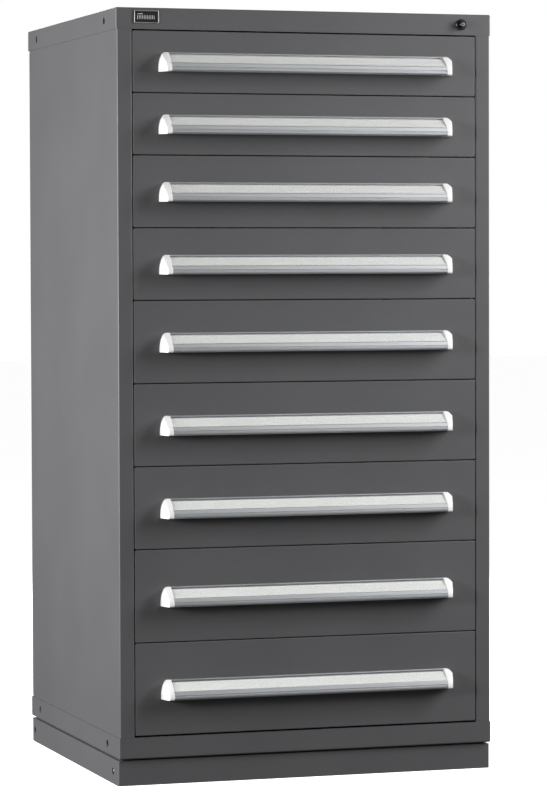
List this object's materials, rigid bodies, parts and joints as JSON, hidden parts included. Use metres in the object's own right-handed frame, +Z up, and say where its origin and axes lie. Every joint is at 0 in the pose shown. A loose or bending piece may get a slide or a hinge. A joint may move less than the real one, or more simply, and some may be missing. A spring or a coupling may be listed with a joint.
{
  "type": "modular drawer cabinet",
  "caption": "Tall sheet-steel storage cabinet with full-width drawers on roller slides, extruded handles with moulded ends, a push lock and a plinth.",
  "frame": {"origin": "on the floor, under the middle of the whole object, handles included", "axes": "+Z up; +X to the right of someone facing the drawers; drawers open towards -Y"},
  "size_m": [0.768, 0.738, 1.499],
  "materials": {
    "powder_coat_grey": "satin",
    "zinc_steel": "satin",
    "anodised_aluminium": "satin",
    "white_plastic": "gloss",
    "label_card": "matt",
    "clear_plastic": "gloss",
    "dark_lock_metal": "satin",
    "black_plate": "satin"
  },
  "bodies": {
    "housing": {"top_cap": "powder_coat_grey", "bottom_pan": "powder_coat_grey", "left_side_panel": "powder_coat_grey", "right_side_panel": "powder_coat_grey", "back_panel": "powder_coat_grey", "base_plinth": "powder_coat_grey", "housing_fasteners": "zinc_steel", "left_uprights": "zinc_steel", "right_uprights": "zinc_steel", "left_fixed_rails": "zinc_steel", "right_fixed_rails": "zinc_steel", "lock_housing": "dark_lock_metal", "nameplate": "black_plate"},
    "lock_plunger": {"lock_plunger": "dark_lock_metal"},
    "lock_bar": {"lock_bar": "zinc_steel"},
    "drawer_1": {"drawer_1_pan": "powder_coat_grey", "drawer_1_front": "powder_coat_grey", "drawer_1_handle": "anodised_aluminium", "drawer_1_end_caps": "white_plastic"},
    "carriages_1": {"drawer_1_carriages": "zinc_steel"},
    "drawer_2": {"drawer_2_pan": "powder_coat_grey", "drawer_2_front": "powder_coat_grey", "drawer_2_handle": "anodised_aluminium", "drawer_2_end_caps": "white_plastic"},
    "carriages_2": {"drawer_2_carriages": "zinc_steel"},
    "drawer_3": {"drawer_3_pan": "powder_coat_grey", "drawer_3_front": "powder_coat_grey", "drawer_3_handle": "anodised_aluminium", "drawer_3_end_caps": "white_plastic"},
    "carriages_3": {"drawer_3_carriages": "zinc_steel"},
    "drawer_4": {"drawer_4_pan": "powder_coat_grey", "drawer_4_front": "powder_coat_grey", "drawer_4_handle": "anodised_aluminium", "drawer_4_end_caps": "white_plastic"},
    "carriages_4": {"drawer_4_carriages": "zinc_steel"},
    "drawer_5": {"drawer_5_pan": "powder_coat_grey", "drawer_5_front": "powder_coat_grey", "drawer_5_handle": "anodised_aluminium", "drawer_5_end_caps": "white_plastic"},
    "carriages_5": {"drawer_5_carriages": "zinc_steel"},
    "drawer_6": {"drawer_6_pan": "powder_coat_grey", "drawer_6_front": "powder_coat_grey", "drawer_6_handle": "anodised_aluminium", "drawer_6_end_caps": "white_plastic"},
    "carriages_6": {"drawer_6_carriages": "zinc_steel"},
    "drawer_7": {"drawer_7_pan": "powder_coat_grey", "drawer_7_front": "powder_coat_grey", "drawer_7_handle": "anodised_aluminium", "drawer_7_end_caps": "white_plastic"},
    "carriages_7": {"drawer_7_carriages": "zinc_steel"},
    "drawer_8": {"drawer_8_pan": "powder_coat_grey", "drawer_8_front": "powder_coat_grey", "drawer_8_handle": "anodised_aluminium", "drawer_8_end_caps": "white_plastic"},
    "carriages_8": {"drawer_8_carriages": "zinc_steel"},
    "drawer_9": {"drawer_9_pan": "powder_coat_grey", "drawer_9_front": "powder_coat_grey", "drawer_9_handle": "anodised_aluminium", "drawer_9_end_caps": "white_plastic"},
    "carriages_9": {"drawer_9_carriages": "zinc_steel"}
  },
  "joints": [
    {"name": "lock_push", "type": "slide", "parent": "housing", "child": "lock_plunger", "axis": [0, 1, 0], "range_m": [0, 0.012], "stiffness_N_per_m": 600, "springref_m": -0.02},
    {"name": "lock_bar_drop", "type": "slide", "parent": "housing", "child": "lock_bar", "axis": [0, 0, -1], "range_m": [0, 0.012]},
    {"name": "drawer_1_slide", "type": "slide", "parent": "housing", "child": "drawer_1", "axis": [0, -1, 0], "range_m": [0, 0.61]},
    {"name": "carriages_1_slide", "type": "slide", "parent": "housing", "child": "carriages_1", "axis": [0, -1, 0], "range_m": [0, 0.305]},
    {"name": "drawer_2_slide", "type": "slide", "parent": "housing", "child": "drawer_2", "axis": [0, -1, 0], "range_m": [0, 0.61]},
    {"name": "carriages_2_slide", "type": "slide", "parent": "housing", "child": "carriages_2", "axis": [0, -1, 0], "range_m": [0, 0.305]},
    {"name": "drawer_3_slide", "type": "slide", "parent": "housing", "child": "drawer_3", "axis": [0, -1, 0], "range_m": [0, 0.61]},
    {"name": "carriages_3_slide", "type": "slide", "parent": "housing", "child": "carriages_3", "axis": [0, -1, 0], "range_m": [0, 0.305]},
    {"name": "drawer_4_slide", "type": "slide", "parent": "housing", "child": "drawer_4", "axis": [0, -1, 0], "range_m": [0, 0.61]},
    {"name": "carriages_4_slide", "type": "slide", "parent": "housing", "child": "carriages_4", "axis": [0, -1, 0], "range_m": [0, 0.305]},
    {"name": "drawer_5_slide", "type": "slide", "parent": "housing", "child": "drawer_5", "axis": [0, -1, 0], "range_m": [0, 0.61]},
    {"name": "carriages_5_slide", "type": "slide", "parent": "housing", "child": "carriages_5", "axis": [0, -1, 0], "range_m": [0, 0.305]},
    {"name": "drawer_6_slide", "type": "slide", "parent": "housing", "child": "drawer_6", "axis": [0, -1, 0], "range_m": [0, 0.61]},
    {"name": "carriages_6_slide", "type": "slide", "parent": "housing", "child": "carriages_6", "axis": [0, -1, 0], "range_m": [0, 0.305]},
    {"name": "drawer_7_slide", "type": "slide", "parent": "housing", "child": "drawer_7", "axis": [0, -1, 0], "range_m": [0, 0.61]},
    {"name": "carriages_7_slide", "type": "slide", "parent": "housing", "child": "carriages_7", "axis": [0, -1, 0], "range_m": [0, 0.305]},
    {"name": "drawer_8_slide", "type": "slide", "parent": "housing", "child": "drawer_8", "axis": [0, -1, 0], "range_m": [0, 0.61]},
    {"name": "carriages_8_slide", "type": "slide", "parent": "housing", "child": "carriages_8", "axis": [0, -1, 0], "range_m": [0, 0.305]},
    {"name": "drawer_9_slide", "type": "slide", "parent": "housing", "child": "drawer_9", "axis": [0, -1, 0], "range_m": [0, 0.61]},
    {"name": "carriages_9_slide", "type": "slide", "parent": "housing", "child": "carriages_9", "axis": [0, -1, 0], "range_m": [0, 0.305]}
  ],
  "couplings": [
    {"joint": "lock_bar_drop", "follows": "lock_push", "ratio": 1},
    {"joint": "carriages_1_slide", "follows": "drawer_1_slide", "ratio": 0.5},
    {"joint": "carriages_2_slide", "follows": "drawer_2_slide", "ratio": 0.5},
    {"joint": "carriages_3_slide", "follows": "drawer_3_slide", "ratio": 0.5},
    {"joint": "carriages_4_slide", "follows": "drawer_4_slide", "ratio": 0.5},
    {"joint": "carriages_5_slide", "follows": "drawer_5_slide", "ratio": 0.5},
    {"joint": "carriages_6_slide", "follows": "drawer_6_slide", "ratio": 0.5},
    {"joint": "carriages_7_slide", "follows": "drawer_7_slide", "ratio": 0.5},
    {"joint": "carriages_8_slide", "follows": "drawer_8_slide", "ratio": 0.5},
    {"joint": "carriages_9_slide", "follows": "drawer_9_slide", "ratio": 0.5}
  ]
}
